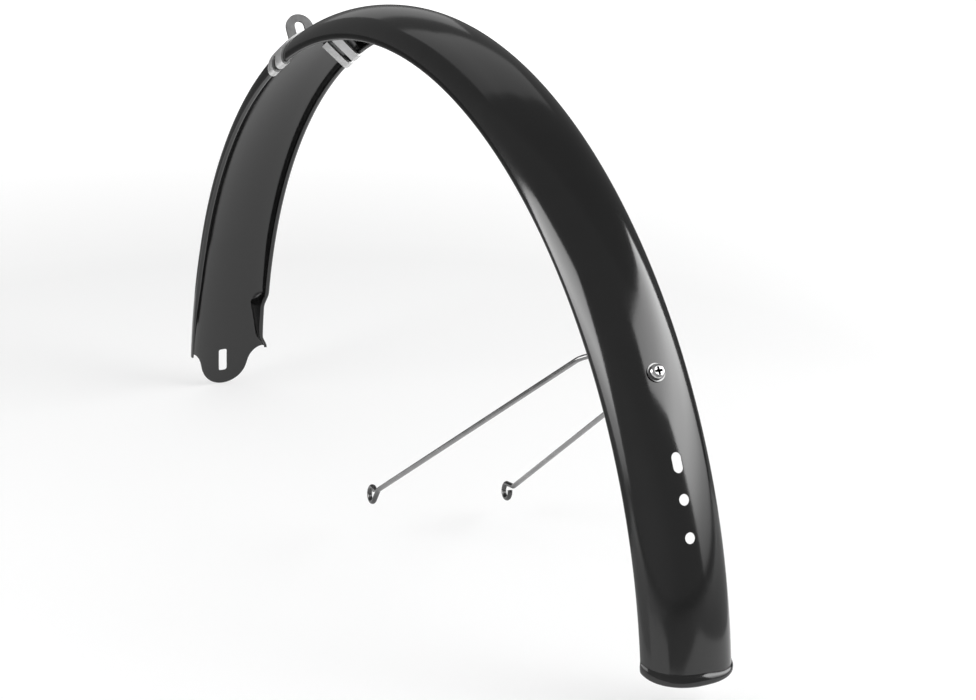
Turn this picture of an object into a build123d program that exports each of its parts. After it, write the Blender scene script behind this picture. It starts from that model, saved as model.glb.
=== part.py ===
from build123d import *
from build123d.topology import SkipClean
from math import acos, cos, degrees, radians, sin, sqrt
import os

# A steel rear mudguard for a 28-inch bicycle wheel, in millimetres and degrees.
# +X is forward, +Y is left, +Z is up, as the mudguard sits on a bicycle.
# The origin is the middle of the slot in the bracket's lug, on the lug's front face.
# Angles go round the wheel from its top, positive to the front.

os.makedirs("parts", exist_ok=True)

# Blade: one sheet, formed round the wheel, with its edges rolled inward
crown_radius = 372.0  # outside of the crown, from the wheel's centre
blade_width = 63.0
side_height = 19.5  # crown above the middle of the edge beads
sheet = 0.7
bead_diameter = 4.0
bead_turn = 270.0
arc_steps = 6  # made one after another, so that their seams keep the long facets true

# Rear end of the blade: cut aslant, with a rolled lip across it
rear_angle = -85.6  # where the edge beads end
rear_slant = 23.0  # the crown reaches further than the beads
rear_run = 8.0  # straight end of the beads
lip_length = 6.8
lip_rise = 1.2
lip_round = 0.8

# Front end of the blade: the crown flattens towards the tongue and the left edge splays out
flat_start_angle = 70.0
front_height = 15.0  # crown above the beads at the horns
left_splay = 1.9
horn_angle = 84.6  # where the edge beads end
horn_length = 1.4
tongue_length = 32.0
tongue_tip_radius = 19.8
tongue_shoulder_radius = 17.5
tongue_slot_width = 7.0
tongue_slot_length = 17.8
tongue_slot_corner = 1.8
tongue_slot_place = 12.5  # middle of the slot past the horns

# Pressed-in place on the right edge
dent_depth = 3.4
dent_start_angle = 77.8
dent_full_angle = 79.1
dent_end_angle = 83.0

# Holes along the crown
lamp_hole_diameter = 7.2
lamp_hole_pitch = 23.8
lamp_hole_angle = -70.8  # midway between the two holes
lamp_slot_width = 7.0
lamp_slot_length = 13.0
lamp_slot_angle = -65.4
screw_hole_diameter = 5.5

# Bridge bracket: a strap over the blade, folded round both beads, with an upright lug
bracket_sheet = 1.5
bracket_fit = 0.1  # between the strap and the blade
strap_width = 27.5
lug_angle = 32.7  # front face of the lug and of the strap
lug_width = 21.6
lug_height = 22.2  # above the crown
lug_slot_width = 7.5
lug_slot_length = 12.6
lug_slot_height = 10.3  # middle of the slot above the crown
lug_bend_radius = 1.5
fork_gap = 6.3
fork_place = 12.3  # middle of the gap behind the strap's front edge
fork_depth = 8.0  # above the middle of the beads
fold_lean = 36.0  # of the folded ends, from the wheel's radius
fold_length = 21.0

# Stay: one wire, bent round a screw in its middle
screw_angle = -56.6
stay_turn = 8.2  # the stay sits turned on its screw
wire_diameter = 3.5
wire_fit = 1.0  # between the wire and the crown at the screw
wire_screw_fit = 0.25
leg_set_forward = 20.0  # of the wire's shoulders from the screw
shoulder_half_span = 33.6
shoulder_depth = 33.0  # below the crown
shoulder_bend_radius = 14.0
arm_bend_radius = 5.0
eye_half_span = 51.8
eye_set_forward = 18.3  # of the eyes from the screw
eye_depth = 344.7  # below the crown
eye_bore_diameter = 7.2
eye_land = 0.1  # depth to which the inside of each eye is sized on a pin
eye_neck = 11.8  # from the middle of an eye to the bend above it
eye_end_fit = 0.3  # between the wire's cut end and its own neck
neck_bend_radius = 6.0

# Fasteners of the stay
screw_diameter = 5.0
screw_head_diameter = 10.0
screw_head_height = 3.7
screw_head_round = 2.4
screw_end = 1.0  # past the nut
recess_length = 5.0
recess_width = 1.1
recess_depth = 2.2
thread_fit = 0.05
washer_bore_fit = 0.15
outer_washer_diameter = 12.0
outer_washer_thickness = 1.0
inner_washer_diameter = 15.0
inner_washer_thickness = 1.2
nut_across_flats = 8.0
nut_height = 4.0
nut_face_diameter = 7.6
nut_chamfer = 0.5  # along the screw, at the corners
seat_fit = 0.02  # between a washer and the round surface that it rests on

# Sizes that follow from those above
half_width = blade_width / 2
bead_radius = bead_diameter / 2
bead_circle = crown_radius - side_height
lug_slot_circle = crown_radius + lug_slot_height
wire_radius = wire_diameter / 2
wire_depth = sheet + wire_fit + wire_radius
cut_reach = 2 * blade_width  # far enough for a cut to go right through

left = Vector(0, 1, 0)


def outward(angle):
    """The direction from the wheel's centre to a place on its rim."""
    return Vector(sin(radians(angle)), 0, cos(radians(angle)))


def forward(angle):
    """The direction along the rim, towards the front."""
    return Vector(cos(radians(angle)), 0, -sin(radians(angle)))


wheel_centre = outward(lug_angle) * -lug_slot_circle
axle = Axis(wheel_centre, left)


def cross_plane(angle):
    """A plane across the blade, from between its beads: X to the left, Y outward, Z forward."""
    return Plane(wheel_centre + outward(angle) * bead_circle, x_dir=left, z_dir=forward(angle))


def skin_plane(angle):
    """A plane against the crown: X to the left, Y forward, Z inward."""
    return Plane(wheel_centre + outward(angle) * crown_radius, x_dir=left, z_dir=-outward(angle))


def side_plane(angle):
    """The plane through the middle of the blade: X forward, Y outward, Z to the right."""
    return Plane(wheel_centre + outward(angle) * bead_circle, x_dir=forward(angle), z_dir=-left)


def arc_angle(length, radius):
    """The angle that a length along an arc takes up."""
    return degrees(length / radius)


# Blade


def blade_half(side, half, height):
    """One half of the blade's section, from the crown to the end of its rolled edge."""
    crown_start = 90 * (1 - side)
    bead_start = 90 - side * 90
    bead_middle = (side * (half - bead_radius), 0)
    EllipticalCenterArc((0, 0), half, height, crown_start, arc_size=side * 90)
    EllipticalCenterArc((0, 0), half - sheet, height - sheet, crown_start, arc_size=side * 90)
    outside = CenterArc(bead_middle, bead_radius, bead_start, -side * bead_turn)
    inside = CenterArc(bead_middle, bead_radius - sheet, bead_start, -side * bead_turn)
    Line(outside @ 1, inside @ 1)


def blade_section(angle, right_inset=0.0):
    """The blade's section at an angle, flatter and splayed towards the front."""
    front_share = min(max((angle - flat_start_angle) / (horn_angle - flat_start_angle), 0), 1)
    height = side_height - (side_height - front_height) * front_share
    with BuildSketch(cross_plane(angle)) as section:
        with BuildLine():
            blade_half(1, half_width + left_splay * front_share, height)
            blade_half(-1, half_width - right_inset, height)
        make_face()
    return section.sketch


def tongue_edge():
    """The left half of the front end's edge, as Y past the horns: horn, hollow shoulder, round tip."""
    horn = Vector(half_width - bead_radius, 0)
    tip_middle = Vector(0, tongue_length - tongue_tip_radius)
    reach = tongue_tip_radius + tongue_shoulder_radius
    to_horn = horn - tip_middle
    along = (reach**2 - tongue_shoulder_radius**2 + to_horn.length**2) / (2 * to_horn.length)
    aside = sqrt(reach**2 - along**2)
    unit = to_horn.normalized()
    shoulder_middle = tip_middle + unit * along + Vector(-unit.Y, unit.X) * aside
    meeting_way = (shoulder_middle - tip_middle).normalized()
    meeting = tip_middle + meeting_way * tongue_tip_radius
    hollow_way = ((horn - shoulder_middle).normalized() - meeting_way).normalized()
    tip_way = (meeting_way + Vector(0, 1)).normalized()
    Polyline(
        (0, cut_reach),
        (cut_reach, cut_reach),
        (cut_reach, horn_length),
        (half_width, horn_length),
        horn,
    )
    ThreePointArc(horn, shoulder_middle + hollow_way * tongue_shoulder_radius, meeting)
    ThreePointArc(meeting, tip_middle + tip_way * tongue_tip_radius, (0, tongue_length))


rear_cut = Plane(cross_plane(rear_angle).origin, x_dir=left, z_dir=forward(rear_angle - rear_slant))
rear_run_angle = rear_angle + arc_angle(rear_run, bead_circle)
rear_run_length = rear_run + side_height  # past the slanted cut
arc_step = (flat_start_angle - rear_run_angle) / arc_steps

with BuildPart() as rear_lip:
    with BuildSketch(cross_plane(rear_run_angle).offset(lip_length)):
        with BuildLine():
            lip_top = EllipticalCenterArc(
                (0, 0), half_width + lip_rise, side_height + lip_rise, 0, arc_size=180
            )
            lip_root = EllipticalCenterArc(
                (0, 0), half_width - sheet / 2, side_height - sheet / 2, 0, arc_size=180
            )
            Line(lip_top @ 0, lip_root @ 0)
            Line(lip_top @ 1, lip_root @ 1)
        make_face()
    extrude(amount=-lip_length - rear_run_length)
    split(bisect_by=rear_cut, keep=Keep.TOP)
    split(bisect_by=rear_cut.offset(lip_length), keep=Keep.BOTTOM)
    lip_outside = rear_lip.faces().sort_by(SortBy.AREA)[-1]
    fillet(lip_outside.edges().sort_by(SortBy.LENGTH)[-2:], radius=lip_round)

with BuildPart() as rear_end:
    extrude(blade_section(rear_run_angle), amount=-rear_run_length)
    split(bisect_by=rear_cut, keep=Keep.TOP)
    add(rear_lip.part)

with BuildPart() as blade:
    with SkipClean():
        for step in range(arc_steps):
            revolve(blade_section(rear_run_angle + step * arc_step), axis=axle, revolution_arc=arc_step)
        add(rear_end.part)
        tongue_end_angle = horn_angle + arc_angle(tongue_length, bead_circle)
        front_sections = [
            blade_section(flat_start_angle),
            blade_section(dent_start_angle),
            blade_section(dent_full_angle, right_inset=dent_depth),
            blade_section(dent_end_angle, right_inset=dent_depth),
            blade_section(horn_angle),
            blade_section(tongue_end_angle),
        ]
        loft(front_sections, ruled=True)
        with BuildSketch(skin_plane(horn_angle)):
            with BuildLine():
                tongue_edge()
                mirror(about=Plane.YZ)
            make_face()
            with Locations((0, tongue_slot_place)):
                RectangleRounded(tongue_slot_width, tongue_slot_length, tongue_slot_corner)
        extrude(amount=cut_reach, both=True, mode=Mode.SUBTRACT)
        with BuildSketch(skin_plane(lamp_hole_angle)):
            with GridLocations(0, lamp_hole_pitch, 1, 2):
                Circle(lamp_hole_diameter / 2)
        extrude(amount=side_height, both=True, mode=Mode.SUBTRACT)
        with BuildSketch(skin_plane(lamp_slot_angle)):
            SlotOverall(lamp_slot_length, lamp_slot_width, rotation=90)
        extrude(amount=side_height, both=True, mode=Mode.SUBTRACT)
        with BuildSketch(skin_plane(screw_angle)):
            Circle(screw_hole_diameter / 2)
        extrude(amount=side_height, both=True, mode=Mode.SUBTRACT)

# Bridge bracket


def strap_half(side):
    """One half of the strap's section: over the blade, round its bead and up inside it."""
    near = bracket_fit
    far = bracket_fit + bracket_sheet
    crown_start = 90 * (1 - side)
    bead_start = 90 - side * 90
    bead_middle = (side * (half_width - bead_radius), 0)
    fold_turn = -side * (180 - fold_lean)
    fold_way = Vector(-side * sin(radians(fold_lean)), cos(radians(fold_lean)))
    EllipticalCenterArc((0, 0), half_width + far, side_height + far, crown_start, arc_size=side * 90)
    EllipticalCenterArc((0, 0), half_width + near, side_height + near, crown_start, arc_size=side * 90)
    outside = CenterArc(bead_middle, bead_radius + far, bead_start, fold_turn)
    inside = CenterArc(bead_middle, bead_radius + near, bead_start, fold_turn)
    outside_end = outside @ 1 + fold_way * fold_length
    inside_end = inside @ 1 + fold_way * fold_length
    Polyline(outside @ 1, outside_end, inside_end, inside @ 1)


strap_angle = arc_angle(strap_width, bead_circle)
fork_angle = lug_angle - arc_angle(fork_place, bead_circle)

with BuildPart() as bridge_bracket:
    with BuildSketch(cross_plane(lug_angle)):
        with BuildLine():
            strap_half(1)
            strap_half(-1)
        make_face()
    revolve(axis=axle, revolution_arc=-strap_angle)
    with BuildSketch(cross_plane(lug_angle)):
        round_middle = side_height + lug_height - lug_width / 2
        Rectangle(lug_width, round_middle, align=(Align.CENTER, Align.MIN))
        with Locations((0, round_middle)):
            Circle(lug_width / 2)
        Ellipse(half_width + bracket_fit, side_height + bracket_fit, mode=Mode.SUBTRACT)
        with Locations((0, side_height + lug_slot_height)):
            SlotOverall(lug_slot_length, lug_slot_width, rotation=90, mode=Mode.SUBTRACT)
    extrude(amount=-bracket_sheet)
    lug_back = cross_plane(lug_angle).offset(-bracket_sheet)
    bend_place = lug_back.from_local_coords((0, side_height + bracket_fit + bracket_sheet, 0))
    fillet(bridge_bracket.edges().sort_by_distance(bend_place)[0], radius=lug_bend_radius)
    with BuildSketch(side_plane(fork_angle)):
        with Locations((0, fork_depth - fork_gap / 2)):
            Circle(fork_gap / 2)
            Rectangle(fork_gap, cut_reach, align=(Align.CENTER, Align.MAX))
    extrude(amount=cut_reach, both=True, mode=Mode.SUBTRACT)
    with BuildSketch(cross_plane(fork_angle)):
        Ellipse(half_width - sheet / 2, side_height - sheet / 2)
    extrude(amount=fork_gap / 2, both=True, mode=Mode.SUBTRACT)

# Stay wire

screw_plane = skin_plane(screw_angle)
stay_across = left * cos(radians(stay_turn)) + forward(screw_angle) * sin(radians(stay_turn))
stay_plane = Plane(screw_plane.origin, x_dir=stay_across, z_dir=screw_plane.z_dir)
eye_radius = eye_bore_diameter / 2 - eye_land + wire_radius  # to the middle of the wire
eye_sweep = 360 - degrees(acos(1 - (wire_diameter + eye_end_fit) / eye_radius))
neck_meeting = degrees(acos(eye_radius / eye_neck))  # where the neck runs into the eye
hairpin_radius = screw_diameter / 2 + wire_screw_fit + wire_radius


def eye_point(side, angle):
    """A point on the left (1) or right (-1) eye, turning from its neck; the left eye turns back first."""
    turn = radians(angle)
    along = eye_set_forward - side * eye_radius * sin(turn)
    return (side * eye_half_span, along, eye_depth - eye_radius * cos(turn))


def stay_half(side):
    """Half of the stay's centre line, from the screw to the cut end of its eye."""
    FilletPolyline(
        (side * hairpin_radius, 0, wire_depth),
        (side * hairpin_radius, leg_set_forward, wire_depth),
        (side * shoulder_half_span, leg_set_forward, shoulder_depth),
        (side * eye_half_span, eye_set_forward, eye_depth - eye_neck),
        eye_point(side, neck_meeting),
        radius=[arm_bend_radius, shoulder_bend_radius, neck_bend_radius],
    )
    ThreePointArc(
        eye_point(side, neck_meeting),
        eye_point(side, neck_meeting + eye_sweep / 2),
        eye_point(side, neck_meeting + eye_sweep),
    )


with BuildPart() as stay_wire:
    with BuildLine(stay_plane) as stay_line:
        stay_half(1)
        ThreePointArc(
            (hairpin_radius, 0, wire_depth),
            (0, -hairpin_radius, wire_depth),
            (-hairpin_radius, 0, wire_depth),
        )
        stay_half(-1)
    route = stay_line.wire()
    with BuildSketch(Plane(route @ 0, z_dir=route % 0)):
        Circle(wire_radius)
    sweep(path=route)
    for side in (1, -1):
        eye_place = stay_plane.from_local_coords((side * eye_half_span, eye_set_forward, eye_depth))
        with BuildSketch(Plane(eye_place, z_dir=stay_plane.x_dir)):
            Circle(eye_bore_diameter / 2)
        extrude(amount=wire_diameter, both=True, mode=Mode.SUBTRACT)

# Fasteners of the stay, along the screw's axis from outside to inside

screw_axis = Axis(screw_plane.origin, screw_plane.z_dir)
outer_washer_seat = -seat_fit
head_seat = outer_washer_seat - outer_washer_thickness
inner_washer_seat = wire_depth + wire_radius + seat_fit
nut_seat = inner_washer_seat + inner_washer_thickness
screw_tip = nut_seat + nut_height + screw_end
washer_bore = screw_diameter / 2 + washer_bore_fit
nut_corner = nut_across_flats / 2 / cos(radians(30))

with BuildPart() as stay_screw:
    with BuildSketch(screw_plane.offset(head_seat)):
        Circle(screw_head_diameter / 2)
    extrude(amount=-screw_head_height)
    head_top = stay_screw.faces().sort_by(screw_axis)[0]
    fillet(head_top.edges(), radius=screw_head_round)
    with BuildSketch(screw_plane.offset(head_seat - screw_head_height)):
        Rectangle(recess_length, recess_width)
        Rectangle(recess_width, recess_length)
    extrude(amount=recess_depth, mode=Mode.SUBTRACT)
    with BuildSketch(screw_plane.offset(head_seat)):
        Circle(screw_diameter / 2)
    extrude(amount=screw_tip - head_seat)

with BuildPart() as outer_washer:
    with BuildSketch(screw_plane.offset(outer_washer_seat)):
        Circle(outer_washer_diameter / 2)
        Circle(washer_bore, mode=Mode.SUBTRACT)
    extrude(amount=-outer_washer_thickness)

with BuildPart() as inner_washer:
    with BuildSketch(screw_plane.offset(inner_washer_seat)):
        Circle(inner_washer_diameter / 2)
        Circle(washer_bore, mode=Mode.SUBTRACT)
    extrude(amount=inner_washer_thickness)

with BuildPart() as stay_nut:
    with BuildSketch(screw_plane.offset(nut_seat)):
        RegularPolygon(nut_across_flats / 2, 6, major_radius=False)
        Circle(screw_diameter / 2 + thread_fit, mode=Mode.SUBTRACT)
    extrude(amount=nut_height)
    with BuildSketch(Plane(screw_plane.origin, x_dir=left, z_dir=-forward(screw_angle))):
        with BuildLine():
            Polyline(
                (0, nut_seat),
                (nut_face_diameter / 2, nut_seat),
                (nut_corner, nut_seat + nut_chamfer),
                (nut_corner, nut_seat + nut_height - nut_chamfer),
                (nut_face_diameter / 2, nut_seat + nut_height),
                (0, nut_seat + nut_height),
                close=True,
            )
        make_face()
    revolve(axis=screw_axis, mode=Mode.INTERSECT)

blade.part.label = "blade"
export_step(blade.part, "parts/blade.step")
bridge_bracket.part.label = "bridge_bracket"
export_step(bridge_bracket.part, "parts/bridge_bracket.step")
stay_wire.part.label = "stay_wire"
export_step(stay_wire.part, "parts/stay_wire.step")
stay_screw.part.label = "stay_screw"
export_step(stay_screw.part, "parts/stay_screw.step")
outer_washer.part.label = "outer_washer"
export_step(outer_washer.part, "parts/outer_washer.step")
inner_washer.part.label = "inner_washer"
export_step(inner_washer.part, "parts/inner_washer.step")
stay_nut.part.label = "stay_nut"
export_step(stay_nut.part, "parts/stay_nut.step")
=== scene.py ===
from math import asin, cos, degrees, radians, sin, sqrt

import bpy
from mathutils import Matrix, Vector
from mathutils.bvhtree import BVHTree


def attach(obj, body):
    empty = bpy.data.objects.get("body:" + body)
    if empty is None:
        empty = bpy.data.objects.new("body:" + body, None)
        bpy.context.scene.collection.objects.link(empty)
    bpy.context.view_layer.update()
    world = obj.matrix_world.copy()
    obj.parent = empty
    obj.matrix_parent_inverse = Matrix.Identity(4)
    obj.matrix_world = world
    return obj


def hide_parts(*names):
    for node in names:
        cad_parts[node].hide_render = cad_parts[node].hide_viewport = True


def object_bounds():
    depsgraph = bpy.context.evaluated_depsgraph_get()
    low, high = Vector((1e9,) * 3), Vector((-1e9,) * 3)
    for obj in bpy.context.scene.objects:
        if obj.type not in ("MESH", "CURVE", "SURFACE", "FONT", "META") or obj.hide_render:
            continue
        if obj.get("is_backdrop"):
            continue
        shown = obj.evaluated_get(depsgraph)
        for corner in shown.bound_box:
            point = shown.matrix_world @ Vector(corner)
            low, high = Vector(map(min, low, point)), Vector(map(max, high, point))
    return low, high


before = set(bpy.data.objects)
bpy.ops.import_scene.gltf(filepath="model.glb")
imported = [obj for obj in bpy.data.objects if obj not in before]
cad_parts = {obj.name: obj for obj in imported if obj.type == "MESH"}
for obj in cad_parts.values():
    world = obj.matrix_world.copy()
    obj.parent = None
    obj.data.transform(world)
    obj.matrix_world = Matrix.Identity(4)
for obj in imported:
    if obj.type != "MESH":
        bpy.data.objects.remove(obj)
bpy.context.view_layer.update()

# A gloss black bicycle mudguard with its bracket and wire stay, in metres and degrees.
# +X is forward, +Y is left, +Z is up. Angles go round the wheel from its top, positive to the front.

# Sizes as in the CAD model
CROWN_RADIUS = 0.372
HALF_WIDTH = 0.0315
SIDE_HEIGHT = 0.0195  # of the crown, above the circle that the heights start from
SHEET = 0.0007
EDGE_DROP = 0.002  # lowest line of the rolled edges, below that circle
REAR_ANGLE = -85.6
REAR_SLANT = 23.0
REAR_RUN = 0.008  # straight end behind the arc
LIP_LENGTH = 0.0068
FLAT_START_ANGLE = 70.0  # from here the crown flattens towards the tongue and the left edge splays out
FRONT_HEIGHT = 0.015
LEFT_SPLAY = 0.0019
HORN_ANGLE = 84.6  # where the rolled edges end
TONGUE_LENGTH = 0.032
TONGUE_TIP_RADIUS = 0.0198
TONGUE_SLOT = (0.007, 0.0178, 0.0018)  # width, length, corner radius
TONGUE_SLOT_PLACE = 0.0125
DENT_DEPTH = 0.0034
LAMP_HOLE_DIAMETER = 0.0072
LAMP_HOLE_PITCH = 0.0238
LAMP_HOLE_ANGLE = -70.8
LAMP_SLOT = (0.007, 0.013)  # width, length
LAMP_SLOT_ANGLE = -65.4
SCREW_ANGLE = -56.6
SCREW_HOLE_DIAMETER = 0.0055
SCREW_HEAD_TOP = 0.00472  # above the crown
LUG_ANGLE = 32.7
LUG_SLOT_HEIGHT = 0.0103

# Details of the blade that are finer than in the CAD model
BEAD_TURN = 262
BEAD_HOLLOW = 0.3  # least inner radius of a rolled edge, as a share of its outer radius
REAR_BEAD_RADII = (0.0010, 0.0019)  # across and up: the rolled edges are pressed flatter along the rear
FRONT_BEAD_RADII = (0.0019, 0.0019)
ROUND_BEAD_ANGLES = (-5.0, 35.0)  # between which they become round
LEFT_END_RADII = (0.0007, 0.0007)  # the rolled edges close up towards the front
RIGHT_END_RADII = (0.0009, 0.0012)
LEFT_CLOSING_ANGLES = (74.0, 81.0)
RIGHT_CLOSING_ANGLES = (81.5, 85.5)
LIP_RADIUS = 0.0065
LIP_SLOPE = 40.0  # at the crease where the lip leaves the blade
LIP_EDGE = 0.0011
LIP_SIDE_SHARE = 0.55  # of the lip's height, down on the walls
RIGHT_LIP_LENGTH = 0.0034
REAR_DROP = 0.0008  # of the rear end below the CAD model's
RIGHT_REAR_DROP = 0.0022  # more of it towards the right edge
HORN_WIDTH = 0.0014
HORN_LENGTH = 0.0006  # of the points beside the tongue's hollow shoulders
LEFT_HORN_PLACE = -0.0006  # start of the hollow, past the horn angle
RIGHT_HORN_PLACE = 0.0001
LEFT_SHOULDER_RADIUS = 0.019
RIGHT_SHOULDER_RADIUS = 0.026
DENT_ANGLES = (76.8, 78.9, 83.0)  # start, full depth, start of the way back
DENT_LAG = 0.3  # degrees by which the dent starts later at its crease than at the edge
CREASE_TURNS = (47.0, 30.0)  # where on the wall the crease runs, at full depth and at the horn

# Places where painted shade begins and ends
LUG_FOOT = 0.002  # above the crown, where the lug's painted shade begins
LUG_FADE = 0.002
LOOP_FADE = (0.038, 0.056)  # distances from the axle between which the painted shade of the wire's loops ends
RECESS_REACH = 0.0027  # of the cross recess from the screw's axis
RECESS_HALF_WIDTH = 0.0008  # of the recess's arms, their edges painted dark as shade
RECESS_EDGE = 0.0001

# Density of the blade's mesh
BEAD_POINTS = 18
WALL_POINTS = 26
CORNER_POINTS = 12
LIP_ROWS = 26
LIP_CROWDING = 1.5  # above 1, the rows are closer together at the end
ARC_ROWS = 230
FRONT_ANGLE = 75.5  # where the closer rows begin
FRONT_ROWS = 64
TONGUE_START_ANGLE = 83.9
TONGUE_ROWS = 34

# Tolerances of the blade's mesh
SAME_PLACE = 1e-7  # points nearer than this are one
LEAST_AREA = 1e-9  # keeps a weight finite at a corner of the skin
SKIN_LIKENESS = 0.7  # least cosine between a face and the skin for the face to be shaded as skin


def outward(angle):
    return Vector((sin(radians(angle)), 0, cos(radians(angle))))


def forward(angle):
    return Vector((cos(radians(angle)), 0, -sin(radians(angle))))


LEFT = Vector((0, 1, 0))
UP = Vector((0, 0, 1))
BEAD_CIRCLE = CROWN_RADIUS - SIDE_HEIGHT
RUN_ANGLE = REAR_ANGLE + degrees(REAR_RUN / BEAD_CIRCLE)
WHEEL_CENTRE = outward(LUG_ANGLE) * -(CROWN_RADIUS + LUG_SLOT_HEIGHT)


def on_blade(angle, across, height):
    """The place at an angle, across to the left and above the circle of the beads."""
    return WHEEL_CENTRE + outward(angle) * (BEAD_CIRCLE + height) + LEFT * across


def ease(share):
    """A smooth step from 0 to 1."""
    share = min(max(share, 0), 1)
    return share * share * (3 - 2 * share)


def between(first, second, angle, angles):
    """Values that go from the first to the second between two angles."""
    share = ease((angle - angles[0]) / (angles[1] - angles[0]))
    return [start + (end - start) * share for start, end in zip(first, second)]


# Blade


def bead_radii(angle, end_radii, closing_angles):
    """Outer radii of a rolled edge, across and up, at an angle."""
    radii = between(REAR_BEAD_RADII, FRONT_BEAD_RADII, angle, ROUND_BEAD_ANGLES)
    return between(radii, end_radii, angle, closing_angles)


def bead_profile(half, inset, radii, pressed):
    """A skin's section round a rolled edge, from its free end to the wall."""
    points = []
    skin_radii = [max(radius - inset, BEAD_HOLLOW * radius) for radius in radii]
    for step in range(BEAD_POINTS):
        turn = radians(BEAD_TURN * (step / BEAD_POINTS - 1))
        across = half - radii[0] + skin_radii[0] * cos(turn) - DENT_DEPTH * pressed(0)
        points.append((across, radii[1] - EDGE_DROP + skin_radii[1] * sin(turn)))
    return points


def wall_profile(half, height, inset, pressed, crease):
    """A skin's section from a rolled edge up to the crown, pressed flat below the crease."""
    points = []
    crease_across = (half - inset) * cos(radians(crease))
    crease_height = (height - inset) * sin(radians(crease))
    edge_across = half - inset - DENT_DEPTH
    for step in range(WALL_POINTS):
        turn = 90 * step / WALL_POINTS
        across = (half - inset) * cos(radians(turn))
        up = (height - inset) * sin(radians(turn))
        if turn < crease:
            flat_across = edge_across + (crease_across - edge_across) * up / crease_height
            across += (flat_across - across) * pressed(turn / crease)
        points.append((across, up))
    return points


def skin_profile(angle, inset):
    """A skin's section at an angle, as (across, height) from the left edge to the right edge."""
    front_share = min(max((angle - FLAT_START_ANGLE) / (HORN_ANGLE - FLAT_START_ANGLE), 0), 1)
    height = SIDE_HEIGHT - (SIDE_HEIGHT - FRONT_HEIGHT) * front_share
    start, full, back = DENT_ANGLES
    way_along = min(max((angle - full) / (HORN_ANGLE - full), 0), 1)
    crease = CREASE_TURNS[0] + (CREASE_TURNS[1] - CREASE_TURNS[0]) * way_along

    def unpressed(up_share):
        return 0

    def pressed(up_share):
        begin = start + DENT_LAG * up_share
        return ease((angle - begin) / (full - start)) * (1 - ease((angle - back) / (HORN_ANGLE - back)))

    left_half = HALF_WIDTH + LEFT_SPLAY * front_share
    left_radii = bead_radii(angle, LEFT_END_RADII, LEFT_CLOSING_ANGLES)
    left = bead_profile(left_half, inset, left_radii, unpressed)
    left += wall_profile(left_half, height, inset, unpressed, crease)
    right_radii = bead_radii(angle, RIGHT_END_RADII, RIGHT_CLOSING_ANGLES)
    right = bead_profile(HALF_WIDTH, inset, right_radii, pressed)
    right += wall_profile(HALF_WIDTH, height, inset, pressed, crease)
    return left + [(0, height - inset)] + [(-across, up) for across, up in reversed(right)]


def lip_rise(from_start):
    """Height of the rolled lip across the rear end: up from a crease, over a round back, down at its edge."""
    peak = LIP_RADIUS * sin(radians(LIP_SLOPE))
    back = sqrt(LIP_RADIUS**2 - (from_start - peak) ** 2) - LIP_RADIUS * cos(radians(LIP_SLOPE))
    into_edge = max(0, from_start - LIP_LENGTH + LIP_EDGE) / LIP_EDGE
    return max(0, back) * sqrt(max(0, 1 - into_edge**2))


def rear_row(share, inset):
    """A row of the straight run behind the arc: 0 at its start, 1 at the slanted end with its rolled lip."""
    cut_place = on_blade(REAR_ANGLE, 0, 0)
    cut_normal = forward(REAR_ANGLE - REAR_SLANT)
    row = []
    for across, height in skin_profile(RUN_ANGLE, inset):
        start = on_blade(RUN_ANGLE, across, height)
        to_right = ease(-across / HALF_WIDTH)
        run = (start - cut_place).dot(cut_normal) / forward(RUN_ANGLE).dot(cut_normal)
        run += REAR_DROP + RIGHT_REAR_DROP * to_right
        lip_length = LIP_LENGTH + (RIGHT_LIP_LENGTH - LIP_LENGTH) * to_right
        to_end = run * (1 - share) * cos(radians(REAR_SLANT)) / lip_length
        rise = 0
        if inset == 0 and to_end < 1:
            up_share = LIP_SIDE_SHARE + (1 - LIP_SIDE_SHARE) * ease(height / SIDE_HEIGHT)
            rise = lip_rise(LIP_LENGTH * (1 - to_end)) * up_share * ease(1 + height / EDGE_DROP)
        steep = Vector((across / HALF_WIDTH**2, height / SIDE_HEIGHT**2)).normalized()
        lifted = start + (LEFT * steep.x + outward(RUN_ANGLE) * steep.y) * rise
        row.append(lifted - forward(RUN_ANGLE) * run * share)
    return row


def tongue_reach(across):
    """How far the front edge reaches past the horn angle: pointed horn, hollow shoulder, round tip."""
    if across > 0:
        horn = Vector((HALF_WIDTH + LEFT_SPLAY - HORN_WIDTH, LEFT_HORN_PLACE))
        radius = LEFT_SHOULDER_RADIUS
    else:
        horn = Vector((HALF_WIDTH - HORN_WIDTH, RIGHT_HORN_PLACE))
        radius = RIGHT_SHOULDER_RADIUS
    across = abs(across)
    if across >= horn.x:
        return horn.y + HORN_LENGTH * (across - horn.x) / HORN_WIDTH
    tip_middle = Vector((0, TONGUE_LENGTH - TONGUE_TIP_RADIUS))
    reach = TONGUE_TIP_RADIUS + radius
    to_horn = horn - tip_middle
    along = (reach**2 - radius**2 + to_horn.length**2) / (2 * to_horn.length)
    unit = to_horn.normalized()
    aside = sqrt(reach**2 - along**2)
    shoulder_middle = tip_middle + unit * along + Vector((-unit.y, unit.x)) * aside
    meeting = tip_middle + (shoulder_middle - tip_middle).normalized() * TONGUE_TIP_RADIUS
    if across > meeting.x:
        return shoulder_middle.y - sqrt(radius**2 - (across - shoulder_middle.x) ** 2)
    return tip_middle.y + sqrt(TONGUE_TIP_RADIUS**2 - across**2)


def tongue_row(share, inset):
    """A row of the front end: 0 at its start on the arc, 1 at the tongue's edge."""
    row = []
    for column, (across, height) in enumerate(skin_profile(HORN_ANGLE, inset)):
        end_angle = HORN_ANGLE + degrees(asin(tongue_reach(across) / (BEAD_CIRCLE + height)))
        angle = TONGUE_START_ANGLE + (end_angle - TONGUE_START_ANGLE) * share
        row.append(on_blade(angle, *skin_profile(angle, inset)[column]))
    return row


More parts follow.
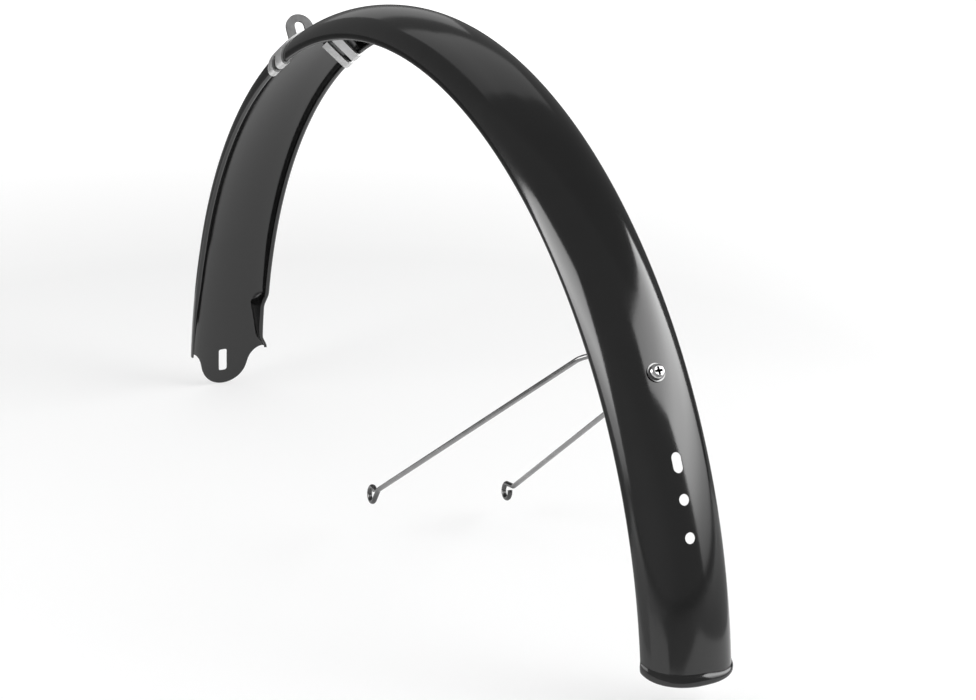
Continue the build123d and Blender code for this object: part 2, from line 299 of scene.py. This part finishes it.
def arc_angles():
    """The angles of the rows along the arc, closer together where the front end is shaped."""
    angles = [RUN_ANGLE + (FRONT_ANGLE - RUN_ANGLE) * step / ARC_ROWS for step in range(ARC_ROWS)]
    span = TONGUE_START_ANGLE - FRONT_ANGLE
    return angles + [FRONT_ANGLE + span * step / FRONT_ROWS for step in range(FRONT_ROWS + 1)]


def skin_rows(inset):
    """Rows of points on the outside (inset 0) or inside of the blade, from the rear end to the tongue."""
    rows = []
    for step in range(LIP_ROWS, 0, -1):
        rows.append(rear_row(1 - (1 - step / LIP_ROWS) ** LIP_CROWDING, inset))
    for angle in arc_angles():
        rows.append([on_blade(angle, across, height) for across, height in skin_profile(angle, inset)])
    for step in range(1, TONGUE_ROWS + 1):
        rows.append(tongue_row(step / TONGUE_ROWS, inset))
    return rows


def mesh_object(name, points, faces):
    mesh = bpy.data.meshes.new(name)
    mesh.from_pydata([tuple(point) for point in points], [], faces)
    mesh.validate()
    piece = bpy.data.objects.new(name, mesh)
    bpy.context.scene.collection.objects.link(piece)
    return piece


def skin_faces(rows, columns, first, flip):
    faces = []
    for row in range(rows - 1):
        for column in range(columns - 1):
            corner = first + row * columns + column
            face = [corner, corner + 1, corner + columns + 1, corner + columns]
            faces.append(face[::-1] if flip else face)
    return faces


def rim_faces(rows, columns):
    """Faces along the sheet's cut edges, from the outside's points to the inside's, which follow them."""
    faces = []
    inner = rows * columns
    for row in range(rows - 1):
        near = row * columns
        far = near + columns
        faces.append([near, far, inner + far, inner + near])
        near += columns - 1
        far += columns - 1
        faces.append([far, near, inner + near, inner + far])
    last = inner - columns
    for column in range(columns - 1):
        faces.append([column + 1, column, inner + column, inner + column + 1])
        corner = last + column
        faces.append([corner, corner + 1, inner + corner + 1, inner + corner])
    return faces


def blade_sheet():
    """The blade without its holes: its points, the faces of both skins and the faces between them."""
    outside = skin_rows(0)
    inside = skin_rows(SHEET)
    rows = len(outside)
    columns = len(outside[0])
    points = [point for row in outside + inside for point in row]
    skins = skin_faces(rows, columns, 0, False) + skin_faces(rows, columns, rows * columns, True)
    return points, skins, rim_faces(rows, columns)


def prism(name, outline, angle, along):
    """A cutter through the crown at an angle, from an outline of (across, forward) points."""
    middle = WHEEL_CENTRE + outward(angle) * CROWN_RADIUS
    points = []
    for reach in (-SIDE_HEIGHT, SIDE_HEIGHT):
        for across, ahead in outline:
            points.append(middle + LEFT * across + forward(angle) * (along + ahead) + outward(angle) * reach)
    count = len(outline)
    faces = [list(range(count)), list(range(2 * count - 1, count - 1, -1))]
    for step in range(count):
        after = (step + 1) % count
        faces.append([after, step, count + step, count + after])
    return mesh_object(name, points, faces)


def rounded(width, length, corner):
    """The outline of a rounded rectangle, or of a circle or slot when the corner is half the width."""
    points = []
    for quarter in range(4):
        side_x = 1 if quarter in (0, 3) else -1
        side_y = 1 if quarter in (0, 1) else -1
        for step in range(CORNER_POINTS + 1):
            turn = radians(90 * (quarter + step / CORNER_POINTS))
            x = side_x * (width / 2 - corner) + corner * cos(turn)
            y = side_y * (length / 2 - corner) + corner * sin(turn)
            if not points or (Vector((x, y)) - Vector(points[-1])).length > SAME_PLACE:
                points.append((x, y))
    if (Vector(points[0]) - Vector(points[-1])).length < SAME_PLACE:
        points.pop()
    return points


def cut(piece, cutter):
    bpy.context.view_layer.objects.active = piece
    modifier = piece.modifiers.new("hole", "BOOLEAN")
    modifier.operation = "DIFFERENCE"
    modifier.solver = "EXACT"
    modifier.object = cutter
    bpy.ops.object.modifier_apply(modifier=modifier.name)
    bpy.data.objects.remove(cutter)


def point_normals(points, skins):
    sums = [Vector() for _ in points]
    for face in skins:
        a, b, c, d = (points[corner] for corner in face)
        normal = (c - a).cross(d - b)
        for corner in face:
            sums[corner] += normal
    return [total.normalized() for total in sums]


def shade_like(piece, points, skins):
    """Smooth normals from the whole skins, so that the cuts leave no marks in the gloss."""
    tree = BVHTree.FromPolygons(points, skins)
    normals = point_normals(points, skins)
    mesh = piece.data
    mesh.polygons.foreach_set("use_smooth", [True] * len(mesh.polygons))
    shaded = []
    for face in mesh.polygons:
        for loop in face.loop_indices:
            place = mesh.vertices[mesh.loops[loop].vertex_index].co
            _, _, index, _ = tree.find_nearest(place)
            normal = Vector()
            for corner in skins[index]:
                normal += normals[corner] * (1 / (LEAST_AREA + (points[corner] - place).length_squared))
            normal.normalize()
            shaded.append(normal if normal.dot(face.normal) > SKIN_LIKENESS else face.normal.copy())
    mesh.normals_split_custom_set(shaded)


def make_blade():
    points, skins, rims = blade_sheet()
    piece = mesh_object("enamelled_blade", points, skins + rims)
    hole = LAMP_HOLE_DIAMETER
    for along in (-LAMP_HOLE_PITCH / 2, LAMP_HOLE_PITCH / 2):
        cut(piece, prism("lamp_hole", rounded(hole, hole, hole / 2), LAMP_HOLE_ANGLE, along))
    cut(piece, prism("lamp_slot", rounded(*LAMP_SLOT, LAMP_SLOT[0] / 2), LAMP_SLOT_ANGLE, 0))
    hole = SCREW_HOLE_DIAMETER
    cut(piece, prism("screw_hole", rounded(hole, hole, hole / 2), SCREW_ANGLE, 0))
    cut(piece, prism("tongue_slot", rounded(*TONGUE_SLOT), HORN_ANGLE, TONGUE_SLOT_PLACE))
    shade_like(piece, points, skins)
    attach(piece, "root")
    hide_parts("blade")
    return piece


# Materials


def grey(level):
    return (level, level, level, 1)


class Nodes:
    """A node tree, with short ways to add to it. Values are constants or the outputs of other nodes."""

    def __init__(self, tree):
        self.tree = tree

    def feed(self, socket, value):
        if isinstance(value, bpy.types.NodeSocket):
            self.tree.links.new(value, socket)
        else:
            socket.default_value = value

    def coordinates(self, kind):
        return self.tree.nodes.new("ShaderNodeTexCoord").outputs[kind]

    def math(self, operation, *values):
        node = self.tree.nodes.new("ShaderNodeMath")
        node.operation = operation
        for socket, value in zip(node.inputs, values):
            self.feed(socket, value)
        return node.outputs["Value"]

    def vector(self, operation, first, second=(0, 0, 0), result="Vector"):
        node = self.tree.nodes.new("ShaderNodeVectorMath")
        node.operation = operation
        self.feed(node.inputs[0], first)
        self.feed(node.inputs[1], second)
        return node.outputs[result]

    def step(self, value, low, high, results=(0, 1)):
        """Goes from one result at the low value to the other at the high one, and stays there beyond them."""
        node = self.tree.nodes.new("ShaderNodeMapRange")
        self.feed(node.inputs["Value"], value)
        self.feed(node.inputs["From Min"], low)
        self.feed(node.inputs["From Max"], high)
        self.feed(node.inputs["To Min"], results[0])
        self.feed(node.inputs["To Max"], results[1])
        return node.outputs["Result"]

    def ramp(self, value, *stops):
        """Grey levels along a value from 0 to 1, as (position, level) stops."""
        node = self.tree.nodes.new("ShaderNodeValToRGB")
        elements = node.color_ramp.elements
        while len(elements) < len(stops):
            elements.new(1.0)
        for element, (position, level) in zip(elements, stops):
            element.position = position
            element.color = grey(level)
        self.feed(node.inputs["Fac"], value)
        return node.outputs["Color"]

    def graded(self, value, levels):
        """Grey levels along a value of any range, as (place, level) steps."""
        first = levels[0][0]
        last = levels[-1][0]
        stops = [((place - first) / (last - first), level) for place, level in levels]
        return self.ramp(self.step(value, first, last), *stops)


class Surface(Nodes):
    """A material with one Principled shader, whose constants are given by their sockets' names."""

    def __init__(self, name, **constants):
        self.material = bpy.data.materials.new(name)
        self.material.use_nodes = True
        super().__init__(self.material.node_tree)
        self.shader = self.tree.nodes["Principled BSDF"]
        for socket, value in constants.items():
            self.drive(socket.replace("_", " "), value)
        self.place = self.coordinates("Object")

    def drive(self, socket, value):
        self.feed(self.shader.inputs[socket], value)

    def noise(self, scale, detail=4.0, stretch=(1, 1, 1)):
        mapping = self.tree.nodes.new("ShaderNodeMapping")
        self.feed(mapping.inputs["Vector"], self.place)
        self.feed(mapping.inputs["Scale"], stretch)
        texture = self.tree.nodes.new("ShaderNodeTexNoise")
        self.feed(texture.inputs["Vector"], mapping.outputs["Vector"])
        self.feed(texture.inputs["Scale"], scale)
        self.feed(texture.inputs["Detail"], detail)
        return texture.outputs["Fac"]

    def depth(self, origin, way):
        """How far a place lies past an origin, along a way."""
        return self.vector("DOT_PRODUCT", self.vector("SUBTRACT", self.place, origin), way, "Value")

    def distance(self, origin, axis):
        """How far a place lies from an axis through an origin."""
        sideways = self.vector("CROSS_PRODUCT", self.vector("SUBTRACT", self.place, origin), axis)
        return self.vector("LENGTH", sideways, result="Value")

    def mix(self, share, first, second):
        """One colour where the share is 0, another where it is 1."""
        node = self.tree.nodes.new("ShaderNodeMix")
        node.data_type = "RGBA"
        self.feed(node.inputs["Factor"], share)
        self.feed(node.inputs["A"], first)
        self.feed(node.inputs["B"], second)
        return node.outputs["Result"]

    def bump(self, height, strength, distance):
        node = self.tree.nodes.new("ShaderNodeBump")
        self.feed(node.inputs["Height"], height)
        self.feed(node.inputs["Strength"], strength)
        self.feed(node.inputs["Distance"], distance)
        self.drive("Normal", node.outputs["Normal"])


def black_enamel():
    """Stove enamel, a little cloudy in its gloss."""
    surface = Surface("black_enamel", IOR=1.58)
    clouds = surface.noise(scale=25, detail=6)
    surface.drive("Base Color", surface.ramp(surface.noise(scale=60), (0.3, 0.0022), (0.8, 0.0034)))
    surface.drive("Roughness", surface.ramp(clouds, (0.3, 0.10), (0.7, 0.15)))
    surface.bump(surface.noise(scale=450, detail=2), strength=0.05, distance=0.0002)
    return surface.material


def bracket_steel():
    """Bright rolled strip, duller and darker on the upright lug, where shade is painted into its colour."""
    surface = Surface("bracket_steel", Metallic=1.0)
    grain = surface.noise(scale=260, detail=5, stretch=(0.15, 1, 1))
    lug_start = CROWN_RADIUS + LUG_FOOT
    lug = surface.step(surface.distance(WHEEL_CENTRE, LEFT), lug_start, lug_start + LUG_FADE)
    strap_colour = surface.ramp(grain, (0.3, 0.58), (0.7, 0.70))
    # painted shade: the lug is a darker copy of the strap's steel
    shaded_lug_colour = surface.ramp(grain, (0.3, 0.16), (0.7, 0.21))
    surface.drive("Base Color", surface.mix(lug, strap_colour, shaded_lug_colour))
    surface.drive("Roughness", surface.ramp(grain, (0.3, 0.38), (0.7, 0.48)))
    surface.bump(grain, strength=0.06, distance=0.0002)
    return surface.material


def wire_steel():
    """Drawn wire, darker in the loops by the axle, where shade is painted into its colour."""
    surface = Surface("wire_steel", Metallic=1.0)
    drawn = surface.noise(scale=500, stretch=(0.1, 1, 0.25))
    leg = surface.step(surface.distance(WHEEL_CENTRE, LEFT), *LOOP_FADE)
    leg_colour = surface.ramp(drawn, (0.3, 0.20), (0.7, 0.26))
    # painted shade: the loops are a darker copy of the leg's wire
    shaded_loop_colour = surface.ramp(drawn, (0.3, 0.07), (0.7, 0.11))
    surface.drive("Base Color", surface.mix(leg, shaded_loop_colour, leg_colour))
    surface.drive("Roughness", surface.ramp(drawn, (0.3, 0.20), (0.7, 0.30)))
    surface.bump(drawn, strength=0.15, distance=0.0001)
    return surface.material


def bright_plate():
    """Plate on the washers and the nut, grey with a fine haze."""
    surface = Surface("bright_plate", Metallic=1.0)
    haze = surface.noise(scale=700, detail=3)
    surface.drive("Base Color", surface.ramp(haze, (0.3, 0.20), (0.7, 0.26)))
    surface.drive("Roughness", surface.ramp(haze, (0.3, 0.18), (0.7, 0.26)))
    return surface.material


def screw_plate():
    """Brighter plate on the screw, with shade painted dark into the cross recess of the head."""
    surface = Surface("screw_plate", Metallic=1.0)
    haze = surface.noise(scale=700, detail=3)
    axis = outward(SCREW_ANGLE)
    head_top = WHEEL_CENTRE + axis * (CROWN_RADIUS + SCREW_HEAD_TOP)
    inner = surface.step(surface.distance(head_top, axis), RECESS_REACH + RECESS_EDGE, RECESS_REACH)
    arms = []
    for way in (LEFT, forward(SCREW_ANGLE)):
        aside = surface.math("ABSOLUTE", surface.depth(head_top, way))
        arms.append(surface.step(aside, RECESS_HALF_WIDTH + RECESS_EDGE, RECESS_HALF_WIDTH))
    recess = surface.math("MULTIPLY", surface.math("MAXIMUM", *arms), inner)
    plate = surface.ramp(haze, (0.3, 0.50), (0.7, 0.58))
    # painted shade: the cross recess is coloured dark instead of being shaded by the lamps
    recess_shade = surface.ramp(haze, (0.3, 0.010), (0.7, 0.025))
    surface.drive("Base Color", surface.mix(recess, plate, recess_shade))
    surface.drive("Roughness", surface.ramp(recess, (0, 0.14), (1, 0.7)))
    return surface.material


# Studio

FLOOR_GREY = 0.5
FLOOR_GAP = 0.001  # under the lowest point of the mudguard
FLOOR_FAR = 8.0  # from the origin to the floor's sides
NEAR_GLOW = 0.47  # what the camera sees of the floor's own white, near the mudguard and far from it
FAR_GLOW = 0.97
GLOW_DISTANCES = (0.6, 1.5)
GLOSS_GLOW = 0.58  # what the gloss shows of it
CARD_LIFT = 0.0004  # of the cards above the floor
PANEL_DISTANCE = 1.6
PANEL_MIDDLE = WHEEL_CENTRE + Vector((0, 0, 0.18))
WORLD_WAY = Vector((0.75, -0.66, 0))  # darkest to the right and ahead
WORLD_LEVELS = [(-1, 0.50), (-0.7, 0.40), (0, 0.36), (0.12, 0.30), (0.5, 0.24), (0.75, 0.20), (1, 0.17)]

# Cards on the floor that only the gloss shows: how pale each is, and its corners seen from above
CARDS = {
    "card_behind": {
        "level": 0.42,
        "corners": [
            (-FLOOR_FAR, 0.42), (-FLOOR_FAR, -FLOOR_FAR), (-0.3, -FLOOR_FAR), (-0.3, -0.22), (-0.62, -0.18),
            (-0.8, -0.18), (-0.9, -0.2), (-0.9, -0.14), (-0.7, 0.01), (-0.69, 0.07), (-0.85, 0.15),
            (-0.98, 0.3), (-0.98, 0.42),
        ],
    },
    "card_left": {
        "level": 0.75,
        "corners": [
            (-0.66, 0.42), (-0.6, 0.16), (-0.32, 0.16), (-0.32, FLOOR_FAR), (-FLOOR_FAR, FLOOR_FAR),
            (-FLOOR_FAR, 0.42),
        ],
    },
    "card_right": {
        "level": 0.2,
        "corners": [
            (-0.3, -0.25), (-0.3, -FLOOR_FAR), (FLOOR_FAR, -FLOOR_FAR), (FLOOR_FAR, -0.2), (1.2, -0.2),
            (1.2, -0.85), (0.6, -0.85), (0.42, -0.52), (0.3, -0.32),
        ],
    },
    "card_ahead": {
        "level": 0.3,
        "corners": [
            (-0.32, 0.16), (-0.12, 0.2), (0, 0.3), (0.12, 0.42), (0.45, 0.42), (0.45, -0.2),
            (FLOOR_FAR, -0.2), (FLOOR_FAR, FLOOR_FAR), (-0.32, FLOOR_FAR),
        ],
    },
}

# Softboxes: the way from the wheel to each, its corners in shares of its distance, and its radiance,
# as (place, radiance) steps along a way across it
PANELS = {
    "panel_right": {
        "azimuth": -118,
        "elevation": 25,
        "corners": [
            (-0.82, 0.41), (-0.55, 0.57), (-0.1, 0.32), (0.18, 0.21), (0.57, 0.15), (0.46, -0.52),
            (-0.52, -0.52), (-0.55, 0.1),
        ],
        "grade": (0, 1),
        "levels": [
            (-0.5, 1.2), (-0.36, 2.3), (-0.25, 4.2), (-0.15, 5.8), (0, 6.4), (0.1, 5.4), (0.2, 4.3),
            (0.4, 3.5),
        ],
    },
    "panel_left": {
        "azimuth": 78,
        "elevation": 18,
        "corners": [
            (-0.62, -0.45), (-0.5, -0.72), (0.15, -0.45), (0.55, -0.27), (0.58, 0.25), (0.5, 0.6),
            (0.02, 0.35), (-0.28, -0.03),
        ],
        "grade": (-0.38, 0.92),
        "levels": [
            (-0.47, 1.5), (-0.38, 2.4), (-0.3, 3.1), (-0.22, 4.9), (-0.1, 7.0), (0.1, 5.6), (0.35, 4.2),
        ],
    },
    "panel_front": {
        "azimuth": -15,
        "elevation": 48,
        "corners": [
            (-0.67, -0.04), (-0.5, -0.25), (0, -0.1), (0.35, -0.17), (0.4, 0.46), (0.04, 0.43), (-0.33, 0.29),
        ],
        "grade": (1, 0),
        "levels": [(-0.5, 0.5), (0, 0.72), (0.4, 0.64)],
    },
    "panel_top": {
        "azimuth": -15,
        "elevation": 48,
        "corners": [(-0.36, -0.8), (0.15, -0.8), (0.2, -0.36), (-0.33, -0.36)],
        "grade": (1, 0),
        "levels": [(-0.4, 0.56), (0.2, 0.56)],
    },
}

# Camera at the photograph's viewpoint, level from side to side
CAMERA_PLACE = Vector((-2.18307, 0.99706, 0.51125))
CAMERA_YAW = -0.48618  # radians, as is the pitch
CAMERA_PITCH = -0.30648
CAMERA_LENS = 122.27  # millimetres, as is the sensor's width
CAMERA_SENSOR = 36.0


def make_world():
    """Grey all round, darker towards the front and the right."""
    world = bpy.data.worlds.new("studio")
    bpy.context.scene.world = world
    world.use_nodes = True
    nodes = Nodes(world.node_tree)
    along = nodes.vector("DOT_PRODUCT", nodes.coordinates("Generated"), WORLD_WAY, "Value")
    nodes.feed(nodes.tree.nodes["Background"].inputs["Color"], nodes.graded(along, WORLD_LEVELS))


def dull(name, level):
    return Surface(name, Base_Color=grey(level), Roughness=1.0, Specular_IOR_Level=0.0)


def flat_on_floor(name, corners, lift, surface):
    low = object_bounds()[0][2] - FLOOR_GAP
    points = [(x, y, low + lift) for x, y in corners]
    piece = mesh_object(name, points, [list(range(len(points)))])
    piece.data.materials.append(surface.material)
    piece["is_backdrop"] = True
    return piece


def make_floor():
    """A pale floor that looks white to the camera far off, and keeps the shadow near the mudguard."""
    surface = dull("floor", FLOOR_GREY)
    away = surface.vector("LENGTH", surface.place, result="Value")
    white = surface.step(away, *GLOW_DISTANCES, (NEAR_GLOW, FAR_GLOW))
    rays = surface.tree.nodes.new("ShaderNodeLightPath").outputs
    seen = surface.math("MULTIPLY", rays["Is Camera Ray"], white)
    gloss = surface.math("MAXIMUM", rays["Is Glossy Ray"], rays["Is Transmission Ray"])
    surface.drive("Emission Color", grey(1))
    surface.drive("Emission Strength", surface.math("MULTIPLY_ADD", gloss, GLOSS_GLOW, seen))
    far = FLOOR_FAR
    flat_on_floor("floor", [(-far, -far), (far, -far), (far, far), (-far, far)], 0, surface)


def make_cards():
    for name, card in CARDS.items():
        piece = flat_on_floor(name, card["corners"], CARD_LIFT, dull(name, card["level"]))
        piece.visible_camera = False
        piece.visible_diffuse = False
        piece.visible_shadow = False


def graded_glow(name, way, levels):
    """A light whose radiance changes along a way, given as (place, radiance) steps."""
    material = bpy.data.materials.new(name)
    material.use_nodes = True
    nodes = Nodes(material.node_tree)
    nodes.tree.nodes.clear()
    along = nodes.vector("DOT_PRODUCT", nodes.coordinates("Object"), way / PANEL_DISTANCE, "Value")
    middle = PANEL_MIDDLE.dot(way) / PANEL_DISTANCE
    peak = max(radiance for _, radiance in levels)
    shares = [(middle + place, radiance / peak) for place, radiance in levels]
    glow = nodes.tree.nodes.new("ShaderNodeEmission")
    nodes.feed(glow.inputs["Color"], nodes.graded(along, shares))
    nodes.feed(glow.inputs["Strength"], peak)
    result = nodes.tree.nodes.new("ShaderNodeOutputMaterial")
    nodes.feed(result.inputs["Surface"], glow.outputs["Emission"])
    return material


def softbox(name, azimuth, elevation, corners, grade, levels):
    """A glowing sheet square to a direction from the wheel, with corners in shares of its distance."""
    level = Vector((cos(radians(azimuth)), sin(radians(azimuth)), 0))
    away = level * cos(radians(elevation)) + UP * sin(radians(elevation))
    right = UP.cross(away).normalized()
    up = away.cross(right)
    middle = PANEL_MIDDLE + away * PANEL_DISTANCE
    points = [middle + (right * u + up * v) * PANEL_DISTANCE for u, v in corners]
    panel = mesh_object(name, points, [list(range(len(points)))])
    panel.data.materials.append(graded_glow(name, right * grade[0] + up * grade[1], levels))
    panel.visible_camera = False
    panel.visible_shadow = False
    panel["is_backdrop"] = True


def make_studio():
    make_world()
    make_floor()
    make_cards()
    for name, panel in PANELS.items():
        softbox(name, **panel)


def make_camera():
    data = bpy.data.cameras.new("camera")
    data.lens = CAMERA_LENS
    data.sensor_width = CAMERA_SENSOR
    camera = bpy.data.objects.new("camera", data)
    bpy.context.scene.collection.objects.link(camera)
    level = cos(CAMERA_PITCH)
    sight = Vector((level * cos(CAMERA_YAW), level * sin(CAMERA_YAW), sin(CAMERA_PITCH)))
    side = sight.cross(UP).normalized()
    above = side.cross(sight)
    turn = Matrix((side, above, -sight)).transposed()
    camera.matrix_world = Matrix.Translation(CAMERA_PLACE) @ turn.to_4x4()
    bpy.context.scene.camera = camera


FINISHES = {
    "bridge_bracket": bracket_steel,
    "stay_wire": wire_steel,
    "stay_screw": screw_plate,
    "outer_washer": bright_plate,
    "inner_washer": bright_plate,
    "stay_nut": bright_plate,
}

bpy.context.scene.view_settings.view_transform = "Standard"
make_camera()
blade = make_blade()
blade.data.materials.append(black_enamel())
for node, finish in FINISHES.items():
    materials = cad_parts[node].data.materials
    materials.clear()
    materials.append(finish())
make_studio()
